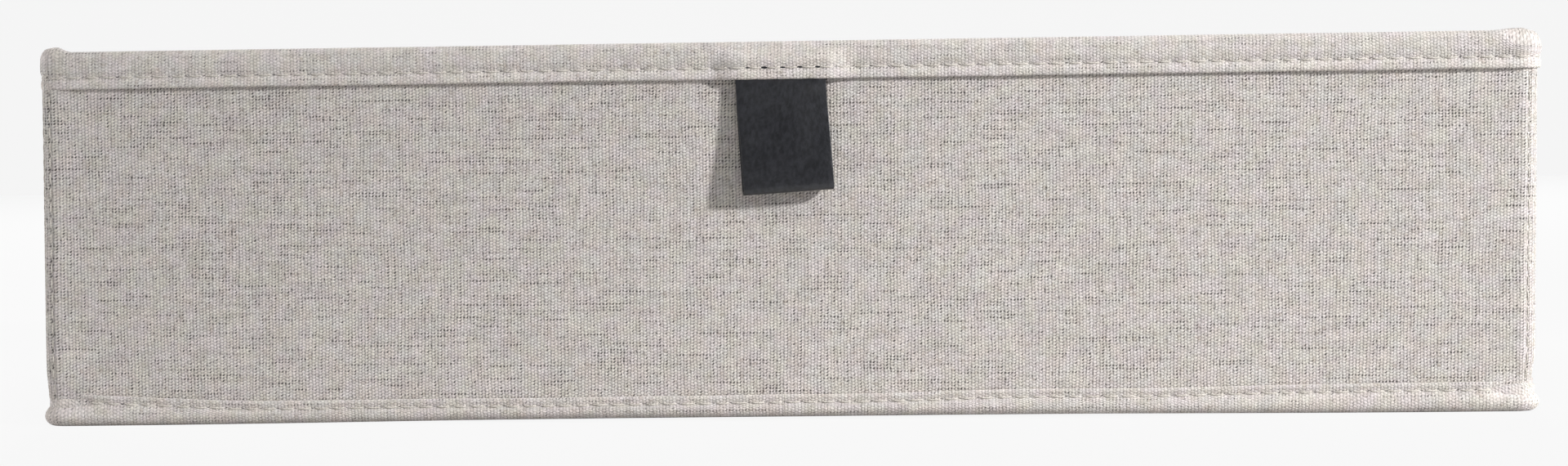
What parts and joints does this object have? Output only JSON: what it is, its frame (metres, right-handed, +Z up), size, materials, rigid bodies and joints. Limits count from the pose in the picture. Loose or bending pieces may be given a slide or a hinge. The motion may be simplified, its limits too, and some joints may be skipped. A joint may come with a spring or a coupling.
{
  "type": "fabric storage drawer",
  "caption": "Shallow open-top cloth-covered board drawer with a taped rim, a leather loop pull on the front and a loose wrapped floor board.",
  "frame": {"origin": "middle of the underside, on the surface that the drawer stands on", "axes": "+X along the front from left to right, -Y out of the front face with the pull, +Z up"},
  "size_m": [0.44, 0.3446, 0.1115],
  "materials": {
    "outer_cloth": "plain woven linen look",
    "lining_cloth": "fine plain weave",
    "greyboard": "matte",
    "pull_leather": "fine grain, low sheen"
  },
  "bodies": {
    "tray": {"front_outer_cloth": "outer_cloth", "back_outer_cloth": "outer_cloth", "left_outer_cloth": "outer_cloth", "right_outer_cloth": "outer_cloth", "base_outer_cloth": "outer_cloth", "rim_binding": "outer_cloth", "base_binding": "outer_cloth", "front_wall_board": "greyboard", "back_wall_board": "greyboard", "left_wall_board": "greyboard", "right_wall_board": "greyboard", "front_lining": "lining_cloth", "back_lining": "lining_cloth", "left_lining": "lining_cloth", "right_lining": "lining_cloth", "floor_lining": "lining_cloth", "pull_tail": "pull_leather"},
    "pull": {"pull_loop": "pull_leather"},
    "floor_board": {"insert_board": "greyboard", "insert_wrap": "lining_cloth"}
  },
  "joints": [
    {"name": "pull_swing", "type": "hinge", "parent": "tray", "child": "pull", "pos_m": [-0.0005, -0.1702, 0.0967], "axis": [-1, 0, 0], "range_deg": [0, 110]},
    {"name": "floor_board_lift", "type": "slide", "parent": "tray", "child": "floor_board", "axis": [0, 0, 1], "range_m": [0, 0.125]}
  ]
}
